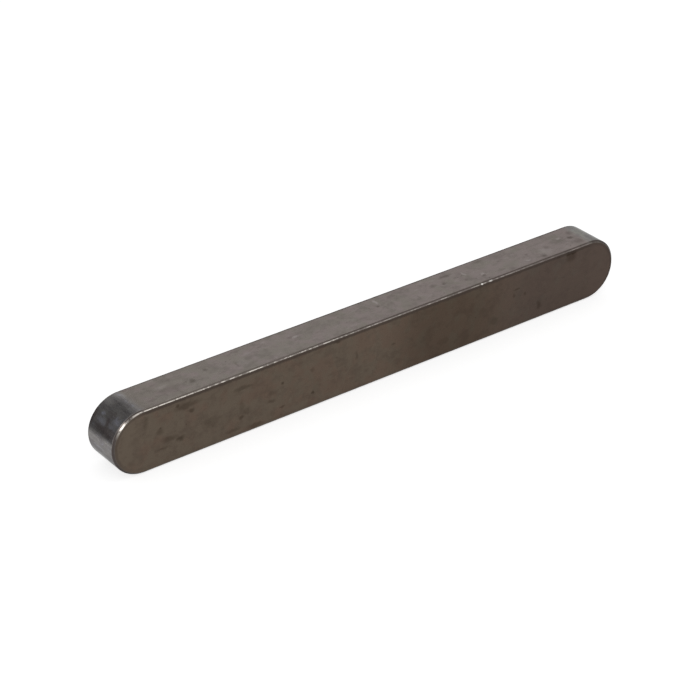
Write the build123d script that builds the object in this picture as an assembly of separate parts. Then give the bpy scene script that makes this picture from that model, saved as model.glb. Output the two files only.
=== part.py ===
"""Parallel key with two round ends: the steel bar that locks a hub to a shaft.

It is one piece of drawn key steel. The two flanks, WIDTH apart, carry the torque.
The base lies on the floor of the shaft's keyway, and the crown faces the hub's.
The round ends match a keyway cut with an end mill as wide as the key.

Frame: X runs along the key, and Z across its width, from one flank to the other.
Y runs through its height, from the crown at -Y to the base at +Y.
The key lies on its lower flank at Z = 0, and the origin is at that flank's centre.
"""

import os

from build123d import *

# Driving dimensions, in millimetres.
WIDTH = 12.0  # from flank to flank
HEIGHT = 8.0  # from the base to the crown
LENGTH = 110.0  # over both round ends
CHAMFER = 0.4  # each leg of the 45 degree edge that runs round the base and the crown

NODE = "parallel_key"


def side_outline():
    """The key's outline seen along Y: two straight flanks joined by half circles, standing on Z = 0."""
    upright = Plane(origin=(0, 0, WIDTH / 2), x_dir=(1, 0, 0), z_dir=(0, -1, 0))
    return upright * SlotOverall(LENGTH, WIDTH)


def sharp_bar():
    """The outline carried through the key's height, centred on Y = 0, with every edge still sharp."""
    return extrude(side_outline(), amount=HEIGHT / 2, both=True)


def key():
    """The bar with the rims of its base and crown chamfered all the way round."""
    bar = sharp_bar()
    faces_in_y_order = bar.faces().filter_by(Axis.Y).sort_by(Axis.Y)
    crown, base = faces_in_y_order[0], faces_in_y_order[-1]
    return chamfer(crown.edges() + base.edges(), CHAMFER)


def main():
    os.makedirs("parts", exist_ok=True)
    solid = key()
    solid.label = NODE
    export_step(solid, f"parts/{NODE}.step")


main()
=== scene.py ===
import functools
import math

import bpy
import numpy as np
from mathutils import Matrix, Vector, noise

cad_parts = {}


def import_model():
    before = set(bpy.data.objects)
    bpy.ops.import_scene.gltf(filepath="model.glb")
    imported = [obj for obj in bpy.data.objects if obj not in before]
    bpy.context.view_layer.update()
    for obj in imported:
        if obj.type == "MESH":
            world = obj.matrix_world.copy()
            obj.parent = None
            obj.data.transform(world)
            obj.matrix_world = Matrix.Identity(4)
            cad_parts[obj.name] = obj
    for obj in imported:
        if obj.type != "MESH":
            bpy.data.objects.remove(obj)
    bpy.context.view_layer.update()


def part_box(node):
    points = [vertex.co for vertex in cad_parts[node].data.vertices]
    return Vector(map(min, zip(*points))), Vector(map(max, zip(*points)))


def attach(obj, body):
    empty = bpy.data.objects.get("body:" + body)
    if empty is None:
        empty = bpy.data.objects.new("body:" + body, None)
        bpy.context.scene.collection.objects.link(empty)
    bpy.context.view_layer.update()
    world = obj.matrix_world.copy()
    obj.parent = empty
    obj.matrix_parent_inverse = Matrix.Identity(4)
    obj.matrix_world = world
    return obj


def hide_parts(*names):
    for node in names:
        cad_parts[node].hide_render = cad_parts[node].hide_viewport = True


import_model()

# The key's own sizes, in millimetres. Length, height and width come from the part's box in model.glb.
MM = 0.001
NODE = "parallel_key"
LOW, HIGH = (np.array(corner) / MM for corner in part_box(NODE))
LENGTH, HEIGHT, WIDTH = HIGH - LOW
CENTRE = (LOW + HIGH) / 2
END_RADIUS = WIDTH / 2
STRAIGHT = LENGTH - WIDTH
CHAMFER = 0.4

# The wear of the rims, in millimetres: the rubbed corners on both sides of a chamfer, and the uneven wear
# between them.
BREAK_RADIUS = 0.11
WEAR_DEPTH = 0.03
WEAR_REACH = 0.3  # how far from the chamfer's middle it fades
WEAR_SCALE = 0.8  # its waves per millimetre
# Nicks in the upper rim of the crown: x, half length, depth. Their width is a share of their length.
NICK_WIDTH = 0.6
NICKS = (
    (44.4, 1.3, 0.28),
    (41.2, 0.4, 0.12),
    (22.9, 0.35, 0.10),
    (23.9, 0.25, 0.08),
    (-12.6, 0.30, 0.07),
    (5.2, 0.25, 0.06),
    (33.5, 0.40, 0.07),
)

# The mesh's steps, in millimetres, and its points across a chamfer.
STEP = 0.2
CAP_INSETS = (5.2, 4.2, 3.2, 2.4, 1.8, 1.35, 1.05, 0.85, 0.7, 0.6, 0.53)
SIDE_STEPS = (3.45, 3.3, 3.05, 2.65, 2.1, 1.4, 0.7)
BREAK_SEGMENTS = 5
SLOPE_SHARES = (0.25, 0.4, 0.5, 0.6, 0.75)

# The camera: its angles about the key's centre, in degrees, and its lens. The aim is off the centre.
AZIMUTH, ELEVATION = -37.242, 30.146
DISTANCE = 393.1 * MM
LENS = 115.1
SENSOR_WIDTH = 36
NEAREST = 10 * MM
AIM_RIGHT, AIM_UP = -3.03 * MM, -1.46 * MM

# How bright the surroundings are: 1 is white. Sizes and distances are in metres.
WORLD_LIGHT = 0.6
FLOOR_ALBEDO = 0.6
FLOOR_GLOW = 0.68
FLOOR_SIZE = 20
# The lamps: the direction from the key to each, its distance, its side, and how bright it looks.
LAMPS = (
    ("lamp_above", (0.38, -0.33, 0.87), 0.9, 0.25, 1.5),
    ("lamp_front_left", (-0.54, -0.68, 0.50), 0.6, 0.19, 4.0),
)

# The dark card that the left round end mirrors: a low curved wall about that end's centre, in millimetres.
CARD_RADIUS = 22.0
CARD_STEPS = 60  # its points each way
CARD_TURNS = (-65, 49)  # from behind the end towards -X and +X, in degrees
CARD_FADE = (8, 48)  # where it fades from dark to white
CARD_ROWS = ((0, 0.85), (4.5, 0.19), (13, 0.26), (50, 0.26))  # its height, and how bright it is there
CARD_FOOT = ((-40, 0), (-30, 12), (-22, 19), (-12, 26))  # its turn, and the height under which it is white
CARD_SOFT = 3.0  # how far above its foot it is fully dark

# Film and metal colours, linear.
FLANK_OLIVE = (0.200, 0.179, 0.160, 1)
FLANK_PURPLE = (0.217, 0.184, 0.175, 1)
FLANK_DARK = (0.138, 0.121, 0.110, 1)
FLANK_LIGHT = (0.283, 0.252, 0.243, 1)
# The crown's and the base's colours are darker and browner than the flanks' partly for their own film and
# partly as painted shade: the shaded floor in front of the crown, which its face mirrors, is painted into
# them.
CROWN_OLIVE = (0.104, 0.082, 0.0625, 1)
CROWN_BROWN = (0.106, 0.0765, 0.058, 1)
CROWN_DARK = (0.068, 0.050, 0.039, 1)
CROWN_COOL = (0.048, 0.037, 0.035, 1)
END_COLOUR = (0.246, 0.235, 0.226, 1)
END_DARK = (0.192, 0.180, 0.180, 1)
END_OLIVE = (0.256, 0.250, 0.222, 1)
END_SCUFF = (0.330, 0.330, 0.370, 1)
END_SMEAR = (0.125, 0.092, 0.090, 1)
# The dark rim colour: partly dirty film, partly painted shade and painted dark reflection.
RIM_FILM_AND_SHADE = (0.046, 0.035, 0.030, 1)
# Painted highlight colours: the bright rim line and its chips are partly bare steel and partly the lamps'
# reflection painted in.
RUBBED_AND_HIGHLIGHT_COLOUR = (0.60, 0.56, 0.51, 1)
BARE_STEEL_AND_GLINT = (0.86, 0.84, 0.80, 1)
GRIME_COLOUR = (0.028, 0.019, 0.012, 1)
EDGE_TINT = (0.55, 0.55, 0.55, 1)

# Noise patterns: scale per millimetre, detail, roughness, and how each axis is stretched.
EVEN = (1, 1, 1)
HUE_NOISE = (0.35, 3.0, 0.55, EVEN)
PATCH_NOISE = (0.3, 4.0, 0.6, EVEN)
SMEAR_NOISE = (1.0, 5.0, 0.7, (0.7, 1, 1))
SPECK_NOISE = (1.7, 2.0, 0.5, EVEN)
SCUFF_NOISE = (0.9, 4.0, 0.65, EVEN)
END_SMEAR_NOISE = (0.6, 5.0, 0.7, (1, 0.7, 1))
END_SCUFF_NOISE = (1.4, 5.0, 0.75, (1, 0.5, 1))
MILLING_NOISE = (3.0, 3.0, 0.6, (1, 0.05, 1))
RIM_NOISE = (1.6, 3.0, 0.7, EVEN)
BEAD_NOISE = (0.9, 4.0, 0.75, EVEN)
GLOSS_NOISE = (0.5, 4.0, 0.65, EVEN)
DRAWING_NOISE = (5.0, 4.0, 0.7, (0.03, 1, 1))
GRAIN_NOISE = (7.0, 3.0, 0.6, EVEN)
TORN_NOISE = {"Scale": 1.0, "Detail": 4.0}
TEAR = 1.1  # how far it pulls the edge of a stain, in millimetres

# Steps, as step() takes them: the two values between which something changes, and what it is before and after
# them. It goes from 0 to 1 where the last two are left out. These ones are changes with the noise.
HUES = (0.38, 0.60)  # from the olive film to the redder one
DULL_PATCHES = (0.54, 0.38)
DARK_SCUFFS = (0.56, 0.72, 0.0, 0.5)
LIGHT_SCUFFS = (0.44, 0.28, 0.0, 0.35)
SPECKS = (0.70, 0.78, 0.0, 0.45)
END_TONES = (0.42, 0.58)
END_LIGHT_SCUFFS = (0.54, 0.66, 0.0, 0.45)
ROUGHNESS = (0.35, 0.65, 0.24, 0.34)
# And these are changes with the place, in millimetres.
MIDDLE = (-1.0, 1.0)
COOLING = (18.0, 36.0, 0.0, 0.5)  # the share of the crown's cooler film
FACE_EDGE = (0.3, 0.42)  # where the film of the crown or the base begins
END_EDGE = (STRAIGHT / 2 - 1.0, STRAIGHT / 2 + 0.6)  # where a round end's film begins
MARK_EDGE = (0.35, 1.25)  # where a mark fades, in shares of its own size

# How strongly dull patches show, how noise patterns share a surface, and its relief.
FLANK_DULL, CROWN_DULL = 0.5, 0.45
SMEARS_SHARE, END_SMEARS_SHARE, LINES_SHARE = 0.5, 0.6, 0.4
SCUFF_SLANT, SCUFF_STRETCH = -0.7, (0.5, 1.4, 1)  # a turn in radians, and each axis's stretch
HUE_DRIFT = 0.002  # how much redder the film grows with each millimetre to the right
END_GLOSS = 0.09  # how much less rough the round ends are
RELIEF_STRENGTH, RELIEF_DEPTH = 0.35, 0.01 * MM

# The dark lines along a rim: partly dirty film, and partly painted shade and painted dark reflection, so they
# are darkest on the round ends' chamfers and faint on the lower rims.
# Places across a rim are in millimetres from the chamfer's middle towards the face: crown and base are where
# a line's middle lies on those sides. It is fully dark within near of there, and gone beyond far. ragged is
# how much of the noise its edge takes. left, right and ends are how dark it is on those parts of the rims,
# and low is how much of that the lower rims keep.
RAGGEDNESS = 0.5  # that noise's reach, in millimetres
RIM_DIRT_AND_SHADE = (
    {"crown": 0.0, "base": 0.0, "near": 0.25, "far": 0.5, "ragged": 0.0,
     "left": 0.50, "right": 0.50, "ends": 0.88, "low": 1.0},
    {"crown": -0.13, "base": -0.50, "near": 0.04, "far": 0.25, "ragged": 0.5,
     "left": 0.58, "right": 0.85, "ends": 0.30, "low": 1.0},
    {"crown": 0.62, "base": 0.62, "near": 0.11, "far": 0.49, "ragged": 1.0,
     "left": 0.75, "right": 0.75, "ends": 0.42, "low": 0.15},
)
RIM_SHADE_CHANGES = (-25.0, -5.0)  # the x between which the left part's share becomes the right one's
LOW_RIM = (-5.0, -2.0)  # the z between which a lower rim becomes an upper one

# The bright line along the upper rims: partly worn bare steel and partly painted highlight, the lamps'
# reflection, so it keeps to the upper rims, is widest on the left end where the front left lamp's reflection
# falls, and fades to the right. Its place across a rim, as above, and its steps.
RUB_SHINE_MIDDLE, RUB_SHINE_CORE = 0.21, 0.03  # the core is how far from its middle it is fully bright
RUB_SHINE_REACH = (-53.0, -47.0, 0.42, 0.17)  # how far it reaches, by x
RUB_SHINE_UPPER = (2.0, 4.6)  # the z between which it begins
RUB_SHINE_BEADS = (0.50, 0.66, 0.10, 1.0)  # its strength by its noise: gaps and beads
RUB_SHINE_MORE = (-52.0, -20.0, 0.12, 0.05)  # what is added to that noise, by x
RUB_SHINE_FADES = ((-16.0, 2.0, 1.0, 0.50), (24.0, 34.0, 1.0, 0.3))  # its strength by x: these multiply
RUB_SHINE_GAP, GAP_STRENGTH = -51.6, (0.4, 1.1, 0.35, 1.0)  # a thin place's x, and the strength by distance from it
CHIP_GLINT_EDGE = (0.06, 0.30, 1.0, 0.0)  # how strong the chip glints are, by distance from the line's middle

# Stains on the crown and the base: (x, z) from the face's centre, then half length, half width and strength.
CROWN_STAINS = (
    (-40.4, 3.9, 2.9, 0.65, 0.40),
    (-42.4, 4.3, 0.6, 0.40, 0.55),
    (-39.6, 2.6, 0.7, 0.40, 0.52),
    (-48.5, 3.4, 0.6, 1.3, 0.28),
    (-45.9, 0.9, 0.8, 0.8, 0.36),
    (-43.9, -1.2, 1.7, 0.5, 0.30),
    (-42.0, -1.9, 0.9, 0.6, 0.52),
    (-45.6, -2.6, 1.5, 0.25, 0.28),
    (-35.8, -1.1, 2.0, 1.1, 0.20),
    (-29.2, 3.1, 2.3, 0.5, 0.38),
    (-29.6, -0.2, 0.6, 1.4, 0.20),
    (-28.6, -1.6, 0.8, 0.8, 0.26),
    (-29.7, -2.5, 0.7, 0.4, 0.50),
    (-31.5, -4.4, 1.9, 0.4, 0.30),
    (-26.8, -5.0, 1.8, 0.5, 0.38),
    (-21.2, 1.1, 0.40, 0.45, 0.58),
    (-23.5, -1.6, 0.9, 0.4, 0.36),
    (-23.1, 0.0, 1.2, 0.5, 0.18),
    (-21.4, -3.5, 0.6, 0.3, 0.45),
    (-14.9, -3.1, 0.45, 0.3, 0.58),
    (-14.8, 1.5, 0.5, 0.5, 0.28),
    (-10.8, -0.8, 1.2, 0.35, 0.15),
    (-5.4, 1.0, 0.4, 0.9, 0.30),
    (-9.6, 5.1, 0.9, 0.35, 0.55),
    (2.7, 0.5, 0.6, 0.3, 0.42),
    # A broad soft darkening over the crown's middle and right, not a mark of its own.
    (15.2, -0.5, 13.8, 14.0, 0.42),
    (14.0, -2.9, 2.5, 1.3, 0.52),
    (13.2, 1.0, 1.4, 1.1, 0.46),
    (17.2, 1.8, 0.8, 1.4, 0.48),
    (23.0, 0.1, 1.4, 1.1, 0.44),
    (25.7, -2.8, 1.5, 1.2, 0.42),
    (31.2, 2.0, 0.9, 0.30, 0.44),
    (30.6, 0.8, 0.4, 0.35, 0.40),
    (33.2, 0.4, 0.4, 0.40, 0.40),
    (36.7, -3.1, 0.6, 1.0, 0.40),
    (44.2, 4.3, 1.5, 1.1, 0.42),
    (44.3, 5.25, 1.6, 0.62, 0.95),
    (41.2, 5.2, 0.6, 0.25, 0.60),
)
# The same on the flanks: (x, y) from the face's centre. Then the flanks' light scuffs.
FLANK_STAINS = (
    (-41.5, -1.0, 2.5, 1.2, 0.18),
    (-40.8, 1.8, 1.3, 0.6, 0.16),
    (-45.8, -2.2, 1.0, 0.35, 0.18),
    (-37.3, -0.9, 0.6, 0.7, 0.38),
    (-33.6, 0.7, 0.5, 0.5, 0.30),
    (-28.5, -1.1, 0.25, 0.8, 0.24),
    (-26.4, 2.6, 1.3, 0.4, 0.20),
    (-16.1, 0.8, 0.7, 0.4, 0.24),
    (-4.8, 1.0, 0.8, 0.6, 0.14),
    (-1.8, -1.6, 1.3, 0.8, 0.12),
    (2.6, 0.4, 0.4, 0.35, 0.32),
    (6.6, 1.9, 1.0, 0.4, 0.20),
    (10.5, -1.3, 0.2, 0.8, 0.20),
    (15.0, 0.4, 0.8, 0.6, 0.18),
    (17.2, 0.0, 0.5, 0.6, 0.28),
    (18.9, 1.9, 1.5, 0.45, 0.36),
    (21.2, -1.4, 0.35, 0.35, 0.24),
    (21.6, 1.3, 0.5, 0.5, 0.18),
    (24.9, -2.1, 0.5, 0.35, 0.30),
    (27.2, 2.7, 1.2, 0.4, 0.24),
    (28.8, -2.1, 0.9, 0.5, 0.18),
    (36.2, -0.6, 0.35, 0.35, 0.30),
    (38.6, -3.0, 0.6, 0.4, 0.32),
    (41.0, -0.7, 0.7, 0.7, 0.24),
    (43.9, 0.0, 1.3, 0.8, 0.14),
    (47.0, -0.3, 0.7, 0.5, 0.48),
    (48.2, 1.2, 0.8, 0.7, 0.30),
    (47.6, -2.3, 1.0, 0.9, 0.28),
)
FLANK_SCUFFS = (
    (-42.6, 0.4, 1.3, 0.5, 0.35),
    (-27.2, -1.1, 1.2, 1.3, 0.22),
    (-25.0, 0.8, 1.0, 0.5, 0.35),
    (-15.1, 0.5, 0.8, 0.4, 0.80),
    (3.2, 1.9, 0.30, 0.9, 0.90),
    (22.3, 0.7, 0.30, 0.8, 0.80),
    (25.1, -1.4, 0.5, 0.4, 0.80),
    (35.0, -2.3, 0.7, 0.25, 0.90),
    (40.0, -1.6, 1.6, 1.3, 0.45),
    (45.1, 0.6, 0.5, 0.4, 0.80),
)
# The same on the left round end, as (y, z) from the key's centre: its dark smears, and its light scuffs.
END_SMEARS = (
    (-1.2, 2.6, 3.6, 0.9, 0.50),
    (3.4, 3.4, 0.6, 1.4, 0.60),
    (-0.5, 4.9, 1.2, 0.22, 0.35),
    (-0.5, 3.9, 0.5, 0.8, 0.50),
)
END_SCUFFS = (
    (-2.4, 4.5, 1.2, 0.50, 0.95),
    (-2.1, 3.7, 1.2, 0.40, 0.45),
    (1.5, 4.4, 0.7, 0.30, 1.60),
    (1.1, 3.6, 1.4, 0.45, 0.75),
    (0.7, -0.8, 1.6, 0.18, 0.50),
)
# Bright chips in the upper rim of the crown where the film is gone, partly painted glints as bright as a
# highlight: as on the crown.
RIM_CHIPS_AND_GLINTS = (
    (22.85, 5.8, 0.22, 0.5, 0.9),
    (24.9, 5.8, 0.45, 0.3, 0.55),
)


def stations():
    """Round the key's outline: each station's centre, as x on the middle line, and its outward direction."""
    half, straight_count = STRAIGHT / 2, round(STRAIGHT / STEP)
    arc_count = round(math.pi * END_RADIUS / STEP)
    along = np.linspace(-half, half, straight_count, endpoint=False)
    turn = np.linspace(0, math.pi, arc_count, endpoint=False)
    x = np.concatenate([along, np.full(arc_count, half), -along, np.full(arc_count, -half)])
    up, down = np.zeros(straight_count), np.full(straight_count, math.pi)
    angle = np.concatenate([up, turn, down, turn + math.pi])
    return x, np.sin(angle), np.cos(angle), straight_count, arc_count


def rim_arc(corner, start, end):
    """A rubbed corner of the profile: points and normals that turn from one face's direction to the next."""
    turn = np.linspace(start, end, BREAK_SEGMENTS + 1)
    middle = (start + end) / 2
    reach = BREAK_RADIUS / math.cos((end - start) / 2)
    inset = corner[0] + reach * math.sin(middle) - BREAK_RADIUS * np.sin(turn)
    y = corner[1] + reach * math.cos(middle) - BREAK_RADIUS * np.cos(turn)
    return [(i, v, math.sin(t), -math.cos(t)) for i, v, t in zip(inset, y, turn)]


def profile():
    """From the crown's middle over rim and flank to the base's: inset from the outline, y and normal."""
    quarter = math.pi / 4
    cap = [(inset, -HEIGHT / 2, 0.0, -1.0) for inset in CAP_INSETS]
    upper = rim_arc((CHAMFER, -HEIGHT / 2), 0, quarter)
    slope = [(CHAMFER * (1 - share), -HEIGHT / 2 + CHAMFER * share, math.sin(quarter), -math.cos(quarter))
             for share in SLOPE_SHARES]
    lower = rim_arc((0, -HEIGHT / 2 + CHAMFER), quarter, 2 * quarter)
    side = [(0.0, -y, 1.0, 0.0) for y in SIDE_STEPS]
    half = cap + upper + slope + lower + side
    middle = [(0.0, 0.0, 1.0, 0.0)]
    return np.array(half + middle + [(inset, -y, out, -along) for inset, y, out, along in half[::-1]])


def nick_depth(x, y, z):
    """How deep the nicks in the crown's upper rim are at each point, in millimetres."""
    depth = np.zeros_like(x)
    from_rim = np.hypot(y + HEIGHT / 2, z - HIGH[2])
    for place, half_length, deep in NICKS:
        away = np.hypot((x - place) / half_length, from_rim / (half_length * NICK_WIDTH))
        depth += deep * np.exp(-away ** 2)
    return depth


def wear_depth(inset, x, y, z):
    """How deep the rims are worn at each point, in millimetres: unevenly, and only near a chamfer."""
    from_rim = np.hypot(inset - CHAMFER / 2, HEIGHT / 2 - np.abs(y) - CHAMFER / 2)
    points = zip(x.ravel(), y.ravel(), z.ravel())
    waves = [noise.noise([value * WEAR_SCALE for value in point]) for point in points]
    uneven = 0.5 + 0.5 * np.array(waves).reshape(x.shape)
    return WEAR_DEPTH * uneven * np.exp(-(from_rim / WEAR_REACH) ** 2)


def quads(*corners):
    """Faces of four corners each, from four grids of vertex numbers."""
    return np.stack(corners, axis=-1).reshape(-1, 4).tolist()


def cap(ring, straight_count, arc_count):
    """Closes an innermost ring, facing +Y: a strip between its straights, and one face in each round end."""
    top = ring[:straight_count + 1]
    lower_start = straight_count + arc_count
    bottom = ring[lower_start:lower_start + straight_count + 1][::-1]
    strip = [[top[i], top[i + 1], bottom[i + 1], bottom[i]] for i in range(straight_count)]
    right = ring[straight_count:lower_start + 1]
    left = ring[lower_start + straight_count:] + ring[:1]
    return strip + [right, left]


def key_mesh():
    """The key as one closed mesh: its profile carried round its outline, with its rims worn and nicked."""
    centre_x, out_x, out_z, straight_count, arc_count = stations()
    inset, y, out, along = (column[:, None] for column in profile().T)
    radius = END_RADIUS - inset
    x, z = centre_x + radius * out_x, CENTRE[2] + radius * out_z
    y = np.broadcast_to(y, x.shape)
    depth = wear_depth(inset, x, y, z) + nick_depth(x, y, z)
    x, z, y = x - depth * out * out_x, z - depth * out * out_z, y - depth * along
    vertices = np.stack([x + CENTRE[0], y + CENTRE[1], z], axis=-1).reshape(-1, 3) * MM

    rings = np.arange(x.size).reshape(x.shape)
    following = np.roll(rings, -1, axis=1)
    faces = quads(rings[:-1], following[:-1], following[1:], rings[1:])
    faces += cap(rings[-1].tolist(), straight_count, arc_count)
    faces += [face[::-1] for face in cap(rings[0].tolist(), straight_count, arc_count)]
    mesh = bpy.data.meshes.new("key_bar")
    mesh.from_pydata(vertices.tolist(), [], faces)
    mesh.shade_smooth()
    mesh.validate()
    return mesh


def add(tree, kind, inputs=(), output=0, **settings):
    """A new node with its settings and inputs, where an input is a value or another node's socket."""
    made = tree.nodes.new(kind)
    for name, value in settings.items():
        setattr(made, name, value)
    for name, value in dict(inputs).items():
        if isinstance(value, bpy.types.NodeSocket):
            tree.links.new(value, made.inputs[name])
        else:
            made.inputs[name].default_value = value
    return made.outputs[output]


def maths(tree, operation, a, b=0.0, c=0.0):
    return add(tree, "ShaderNodeMath", {0: a, 1: b, 2: c}, operation=operation)


def times(tree, a, b):
    return maths(tree, "MULTIPLY", a, b)


def vectors(tree, operation, a, b=EVEN, output="Vector"):
    return add(tree, "ShaderNodeVectorMath", {0: a, 1: b}, output, operation=operation)


def axes(tree, place):
    """The place's x, y and z."""
    node = tree.nodes.new("ShaderNodeSeparateXYZ")
    tree.links.new(place, node.inputs[0])
    return tuple(node.outputs)


def away_from(tree, value, middle):
    """How far the value is from the middle one."""
    return maths(tree, "ABSOLUTE", maths(tree, "SUBTRACT", value, middle))


def strongest(tree, shares):
    return functools.reduce(lambda a, b: maths(tree, "MAXIMUM", a, b), shares)


def blended(tree, share, a, b):
    """That share of value a, and the rest of value b."""
    return maths(tree, "MULTIPLY_ADD", a, share, times(tree, b, 1 - share))


def mixed(tree, share, a, b):
    """Colour a where share is 0, and colour b where it is 1. The colours are the node's sockets 6 and 7."""
    return add(tree, "ShaderNodeMix", {0: share, 6: a, 7: b}, output=2, data_type="RGBA")


def step(tree, value, low, high, start=0.0, end=1.0):
    """A smooth change from start to end while value goes from low to high."""
    inputs = {0: value, 1: low, 2: high, 3: start, 4: end}
    return add(tree, "ShaderNodeMapRange", inputs, interpolation_type="SMOOTHSTEP")


def clouds(tree, place, pattern):
    """Noise about 0.5 in one of the patterns above. It grows long where an axis's stretch is small."""
    scale, detail, roughness, stretch = pattern
    inputs = {"Vector": vectors(tree, "MULTIPLY", place, stretch), "Scale": scale, "Detail": detail,
              "Roughness": roughness}
    return add(tree, "ShaderNodeTexNoise", inputs)


def across_rim(tree, place):
    """How far a point is across its rim, in millimetres: 0 along the chamfer's middle, CHAMFER where the face
    begins and -CHAMFER where the flank or round end begins."""
    x, y, z = axes(tree, place)
    beyond = maths(tree, "SUBTRACT", maths(tree, "ABSOLUTE", x), STRAIGHT / 2)
    spoke = add(tree, "ShaderNodeCombineXYZ", {0: maths(tree, "MAXIMUM", beyond, 0.0), 1: 0.0, 2: z})
    inset = maths(tree, "SUBTRACT", END_RADIUS, vectors(tree, "LENGTH", spoke, output="Value"))
    drop = maths(tree, "SUBTRACT", HEIGHT / 2, maths(tree, "ABSOLUTE", y))
    return maths(tree, "SUBTRACT", inset, drop)


def stains(tree, place, marks, across):
    """The strongest of the marks at this place. across is the axis that their second number runs along."""
    shares = []
    for along, over, half_length, half_width, strength in marks:
        centre, size = [along, 0, 0], [1 / half_length, 0, 0]
        centre[across], size[across] = over, 1 / half_width
        away = vectors(tree, "MULTIPLY", vectors(tree, "SUBTRACT", place, centre), size)
        distance = vectors(tree, "LENGTH", away, output="Value")
        shares.append(step(tree, distance, *MARK_EDGE, strength, 0.0))
    return strongest(tree, shares)


def torn_place(tree, place):
    """The place shifted by noise, so that what is drawn there gets a ragged edge."""
    ragged = add(tree, "ShaderNodeTexNoise", {"Vector": place, **TORN_NOISE}, output="Color")
    shift = {0: ragged, 1: (TEAR,) * 3, 2: (-TEAR / 2,) * 3}
    moved = add(tree, "ShaderNodeVectorMath", shift, operation="MULTIPLY_ADD")
    return vectors(tree, "ADD", place, moved)


def turned(tree, place, share):
    """The place turned end for end where share is 1, so that a hidden face's marks lie elsewhere than a seen
    one's."""
    side = maths(tree, "MULTIPLY_ADD", share, -2.0, 1.0)
    return vectors(tree, "MULTIPLY", place, add(tree, "ShaderNodeCombineXYZ", {0: side, 1: 1.0, 2: 1.0}))


def flank_film(tree, place, torn, hue, dull):
    """The flanks' greyer film, with short slanting scuffs, dark and light, and with marks of its own."""
    hues = mixed(tree, hue, FLANK_OLIVE, FLANK_PURPLE)
    film = mixed(tree, times(tree, dull, FLANK_DULL), hues, FLANK_DARK)
    slant = {"Vector": place, "Rotation": (0, 0, SCUFF_SLANT), "Scale": SCUFF_STRETCH}
    scuffs = clouds(tree, add(tree, "ShaderNodeMapping", slant), SCUFF_NOISE)
    film = mixed(tree, step(tree, scuffs, *DARK_SCUFFS), film, FLANK_DARK)
    film = mixed(tree, step(tree, scuffs, *LIGHT_SCUFFS), film, FLANK_LIGHT)
    marked = turned(tree, torn, maths(tree, "LESS_THAN", axes(tree, place)[2], 0.0))
    film = mixed(tree, stains(tree, marked, FLANK_SCUFFS, 1), film, FLANK_LIGHT)
    return mixed(tree, stains(tree, marked, FLANK_STAINS, 1), film, GRIME_COLOUR)


def crown_film_and_shade(tree, place, torn, hue, dull):
    """The crown's and the base's browner film, in soft patches under stains. Their darkness beside the flanks
    is partly that film and partly painted shade, standing in for the shaded floor that the crown's face
    mirrors. It is cooler and darker towards the crown's right end and the base's left one."""
    marked = turned(tree, torn, maths(tree, "GREATER_THAN", axes(tree, place)[1], 0.0))
    hues = mixed(tree, hue, CROWN_OLIVE, CROWN_BROWN)
    film = mixed(tree, times(tree, dull, CROWN_DULL), hues, CROWN_DARK)
    film = mixed(tree, step(tree, axes(tree, marked)[0], *COOLING), film, CROWN_COOL)
    return mixed(tree, stains(tree, marked, CROWN_STAINS, 2), film, GRIME_COLOUR)


def left_end_marks(tree, torn, marks):
    """The strongest of the marks at this place on the left round end, and 0 on the right one."""
    x, y, z = axes(tree, torn)
    on_end = add(tree, "ShaderNodeCombineXYZ", {0: y, 2: z})
    return times(tree, stains(tree, on_end, marks, 2), maths(tree, "LESS_THAN", x, 0.0))


def end_film(tree, place, torn):
    """The round ends' thin film, with soft smears, the fine lines that their milling left, and the left end's
    own smears and scuffs."""
    light = mixed(tree, step(tree, axes(tree, place)[0], *MIDDLE), END_COLOUR, END_OLIVE)
    smears, lines = clouds(tree, place, END_SMEAR_NOISE), clouds(tree, place, MILLING_NOISE)
    tone = blended(tree, END_SMEARS_SHARE, smears, lines)
    film = mixed(tree, step(tree, tone, *END_TONES), END_DARK, light)
    scuffs = step(tree, clouds(tree, place, END_SCUFF_NOISE), *END_LIGHT_SCUFFS)
    film = mixed(tree, scuffs, film, END_SCUFF)
    film = mixed(tree, left_end_marks(tree, torn, END_SMEARS), film, END_SMEAR)
    return mixed(tree, left_end_marks(tree, torn, END_SCUFFS), film, END_SCUFF)


def film_colour(tree, place, face, end):
    """The whole film under its specks, with patches of two hues: olive to the left, redder to the right."""
    drift = times(tree, axes(tree, place)[0], HUE_DRIFT)
    hue = step(tree, maths(tree, "ADD", drift, clouds(tree, place, HUE_NOISE)), *HUES)
    smears, patches = clouds(tree, place, SMEAR_NOISE), clouds(tree, place, PATCH_NOISE)
    dull = step(tree, blended(tree, SMEARS_SHARE, smears, patches), *DULL_PATCHES)
    torn = torn_place(tree, place)
    sides = mixed(tree, end, flank_film(tree, place, torn, hue, dull), end_film(tree, place, torn))
    film = mixed(tree, face, sides, crown_film_and_shade(tree, place, torn, hue, dull))
    specks = step(tree, clouds(tree, place, SPECK_NOISE), *SPECKS)
    return mixed(tree, specks, film, GRIME_COLOUR)


def rim_dirt_and_shade(tree, place, skew, end):
    """How dark a rim is painted: some on the chamfer, and a ragged line on each side of it. It is partly
    dirty film and partly painted shade and painted dark reflection.
    """
    x, y, z = axes(tree, place)
    ragged = maths(tree, "MULTIPLY_ADD", clouds(tree, place, RIM_NOISE), RAGGEDNESS, -RAGGEDNESS / 2)
    shares = []
    for line in RIM_DIRT_AND_SHADE:
        away = away_from(tree, skew, step(tree, y, *MIDDLE, line["crown"], line["base"]))
        away = maths(tree, "MULTIPLY_ADD", ragged, line["ragged"], away)
        straight = step(tree, x, *RIM_SHADE_CHANGES, line["left"], line["right"])
        more_on_end = maths(tree, "SUBTRACT", line["ends"], straight)
        most = maths(tree, "MULTIPLY_ADD", end, more_on_end, straight)
        most = times(tree, most, step(tree, z, *LOW_RIM, line["low"], 1.0))
        shares.append(step(tree, away, line["near"], line["far"], most, 0.0))
    return strongest(tree, shares)


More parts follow.
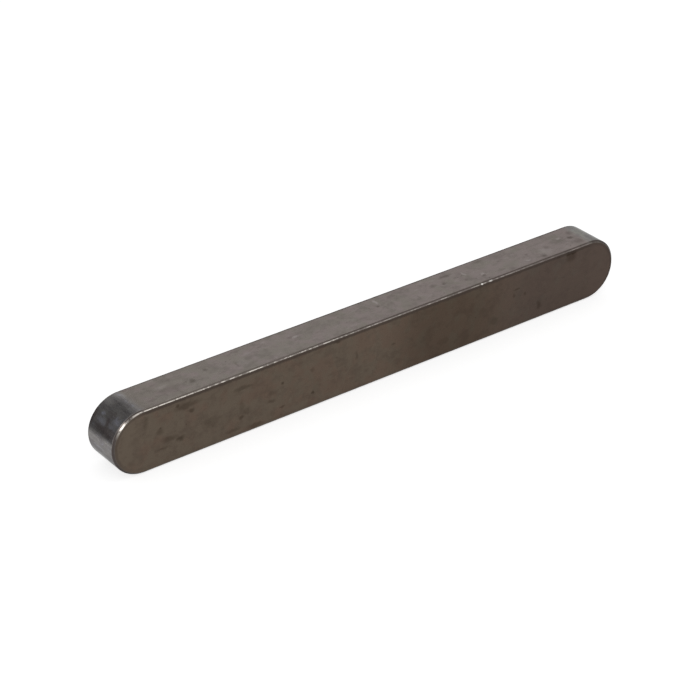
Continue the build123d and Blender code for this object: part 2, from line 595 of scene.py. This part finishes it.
def rubbed_steel_and_highlight(tree, place, skew, film):
    """The film with a bright line along the upper rims and a few bright chip glints: partly bare metal where
    the film is worn off, and partly painted highlight, the lamps' reflection. The line breaks up into beads.
    It is widest on the left end, with a thin place there, and fainter to the right."""
    x, y, z = axes(tree, place)
    away = away_from(tree, skew, RUB_SHINE_MIDDLE)
    line = step(tree, away, RUB_SHINE_CORE, step(tree, x, *RUB_SHINE_REACH), 1.0, 0.0)
    beads = maths(tree, "ADD", clouds(tree, place, BEAD_NOISE), step(tree, x, *RUB_SHINE_MORE))
    shares = [line, step(tree, z, *RUB_SHINE_UPPER), step(tree, beads, *RUB_SHINE_BEADS)]
    shares += [step(tree, x, *fade) for fade in RUB_SHINE_FADES]
    shares.append(step(tree, away_from(tree, x, RUB_SHINE_GAP), *GAP_STRENGTH))
    rub_highlight = functools.reduce(lambda a, b: times(tree, a, b), shares)
    chip_glints = times(tree, stains(tree, place, RIM_CHIPS_AND_GLINTS, 2), step(tree, away, *CHIP_GLINT_EDGE))
    chip_glints = times(tree, chip_glints, maths(tree, "LESS_THAN", y, 0.0))
    return mixed(tree, chip_glints, mixed(tree, rub_highlight, film, RUBBED_AND_HIGHLIGHT_COLOUR), BARE_STEEL_AND_GLINT)


def key_steel():
    """Bright-drawn steel under a thin brownish film, mottled and stained, with drawing lines. Its rims carry
    dark lines that are partly dirt and partly painted shade, and a bright upper line that is partly worn bare
    steel and partly painted highlight; the crown's and the base's darkness is partly painted shade.
    place is in millimetres from the key's centre, and skew is how far it is across its rim."""
    material = bpy.data.materials.new("key_steel")
    material.use_nodes = True
    tree = material.node_tree
    shader = tree.nodes["Principled BSDF"]
    own = add(tree, "ShaderNodeTexCoord", output="Object")
    scaled = add(tree, "ShaderNodeVectorMath", {0: own, "Scale": 1 / MM}, operation="SCALE")
    place = vectors(tree, "SUBTRACT", scaled, tuple(CENTRE))
    skew = across_rim(tree, place)
    face = step(tree, skew, *FACE_EDGE)
    from_middle = maths(tree, "ABSOLUTE", axes(tree, place)[0])
    end = step(tree, from_middle, *END_EDGE)

    film = film_colour(tree, place, face, end)
    # Dark rims: partly dirt, partly painted shade and painted dark reflection.
    film = mixed(tree, rim_dirt_and_shade(tree, place, skew, end), film, RIM_FILM_AND_SHADE)
    # Bright rim line and chips: partly bare steel, partly painted highlight.
    tree.links.new(rubbed_steel_and_highlight(tree, place, skew, film), shader.inputs["Base Color"])

    rough = step(tree, clouds(tree, place, GLOSS_NOISE), *ROUGHNESS)
    rough = maths(tree, "SUBTRACT", rough, times(tree, end, END_GLOSS))
    tree.links.new(rough, shader.inputs["Roughness"])
    lines, grain = clouds(tree, place, DRAWING_NOISE), clouds(tree, place, GRAIN_NOISE)
    height = blended(tree, LINES_SHARE, lines, grain)
    relief = {"Strength": RELIEF_STRENGTH, "Distance": RELIEF_DEPTH, "Height": height}
    tree.links.new(add(tree, "ShaderNodeBump", relief), shader.inputs["Normal"])
    shader.inputs["Metallic"].default_value = 1.0
    shader.inputs["Specular Tint"].default_value = EDGE_TINT
    return material


def key_bar():
    """The dressed key, in place of the plain solid."""
    piece = bpy.data.objects.new("key_bar", key_mesh())
    bpy.context.collection.objects.link(piece)
    piece.data.materials.append(key_steel())
    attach(piece, "root")
    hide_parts(NODE)


def seen_directly(tree):
    """1 for rays from the camera, or by way of metal or glass, and 0 for the rest, which light the object."""
    path = tree.nodes.new("ShaderNodeLightPath").outputs
    return strongest(tree, [path["Is Glossy Ray"], path["Is Transmission Ray"], path["Is Camera Ray"]])


def stage_material(name, surface):
    """A material with the surface that surface(tree) makes."""
    material = bpy.data.materials.new(name)
    material.use_nodes = True
    tree = material.node_tree
    tree.nodes.remove(tree.nodes["Principled BSDF"])
    tree.links.new(surface(tree), tree.nodes["Material Output"].inputs["Surface"])
    return material


def floor_surface(tree):
    """Seen directly it glows to white, and its diffuse share still takes the key's shadow."""
    diffuse = add(tree, "ShaderNodeBsdfDiffuse", {"Color": (FLOOR_ALBEDO,) * 3 + (1,)})
    glow = add(tree, "ShaderNodeEmission", {"Strength": times(tree, seen_directly(tree), FLOOR_GLOW)})
    return add(tree, "ShaderNodeAddShader", {0: diffuse, 1: glow})


def floor():
    """A wide pale floor."""
    bpy.ops.mesh.primitive_plane_add(size=FLOOR_SIZE, location=(0, 0, 0))
    plane = bpy.context.object
    plane.name = "floor"
    plane.data.materials.append(stage_material("floor_white", floor_surface))


def world():
    """Plain white all round: at full strength where it is seen directly, and at WORLD_LIGHT for the rest."""
    made = bpy.data.worlds.new("studio")
    made.use_nodes = True
    tree = made.node_tree
    strength = maths(tree, "MULTIPLY_ADD", seen_directly(tree), 1 - WORLD_LIGHT, WORLD_LIGHT)
    background = tree.nodes["Background"]
    background.inputs["Color"].default_value = (1, 1, 1, 1)
    tree.links.new(strength, background.inputs["Strength"])
    bpy.context.scene.world = made


def card_levels(degrees, heights):
    """How bright the card is by height and turn: dark, but white beyond its fade and below its foot."""
    dark = np.interp(heights, *np.array(CARD_ROWS).T)[:, None]
    start, end = CARD_FADE
    beside = np.clip((degrees - start) / (end - start), 0, 1)
    foot = np.interp(degrees, *np.array(CARD_FOOT).T)
    below = np.clip(1 - (heights[:, None] - foot) / CARD_SOFT, 0, 1) * (foot > 0)
    white = np.maximum(beside, below)
    return dark * (1 - white) + white


def card_surface(tree):
    level = add(tree, "ShaderNodeAttribute", output="Fac", attribute_name="level")
    return add(tree, "ShaderNodeEmission", {"Strength": level})


def dark_card():
    """A dark studio card behind the left round end. It fades to white, and only reflections show it."""
    degrees = np.linspace(*CARD_TURNS, CARD_STEPS)
    heights = np.linspace(0, CARD_ROWS[-1][0], CARD_STEPS)
    turns, z = np.meshgrid(np.radians(degrees), heights)
    x, y = -STRAIGHT / 2 + CARD_RADIUS * np.sin(turns), CARD_RADIUS * np.cos(turns)
    grid = np.arange(x.size).reshape(x.shape)
    faces = quads(grid[:-1, :-1], grid[:-1, 1:], grid[1:, 1:], grid[1:, :-1])
    mesh = bpy.data.meshes.new("dark_card")
    mesh.from_pydata((np.stack([x, y, z], axis=-1).reshape(-1, 3) * MM).tolist(), [], faces)
    levels = mesh.attributes.new("level", "FLOAT", "POINT")
    levels.data.foreach_set("value", card_levels(degrees, heights).ravel().astype(np.float32))
    mesh.materials.append(stage_material("card_grey", card_surface))
    card = bpy.data.objects.new("dark_card", mesh)
    bpy.context.collection.objects.link(card)
    card.visible_camera = card.visible_diffuse = card.visible_shadow = False


def soft_lamp(name, direction, distance, size, radiance):
    """A square lamp that faces the key. radiance is how bright it looks, where 1 is white."""
    lamp = bpy.data.lights.new(name, "AREA")
    lamp.size = size
    lamp.energy = radiance * math.pi * size ** 2
    made = bpy.data.objects.new(name, lamp)
    towards = Vector(direction).normalized()
    made.location = towards * distance
    made.rotation_euler = towards.to_track_quat("Z", "Y").to_euler()
    bpy.context.collection.objects.link(made)


def camera():
    """Looks at the key from the front left and above."""
    turn, rise = math.radians(AZIMUTH), math.radians(ELEVATION)
    back = Vector((math.sin(turn) * math.cos(rise), -math.cos(turn) * math.cos(rise), math.sin(rise)))
    right = Vector((math.cos(turn), math.sin(turn), 0))
    up = back.cross(right)
    aim = Vector(CENTRE * MM) + AIM_RIGHT * right + AIM_UP * up
    made = bpy.data.objects.new("camera", bpy.data.cameras.new("camera"))
    made.data.lens = LENS
    made.data.sensor_width = SENSOR_WIDTH
    made.data.clip_start = NEAREST
    facing = Matrix((right, up, back)).transposed().to_4x4()
    made.matrix_world = Matrix.Translation(aim + back * DISTANCE) @ facing
    bpy.context.collection.objects.link(made)
    bpy.context.scene.camera = made


camera()
key_bar()
floor()
world()
dark_card()
for row in LAMPS:
    soft_lamp(*row)
bpy.context.scene.view_settings.view_transform = "Standard"
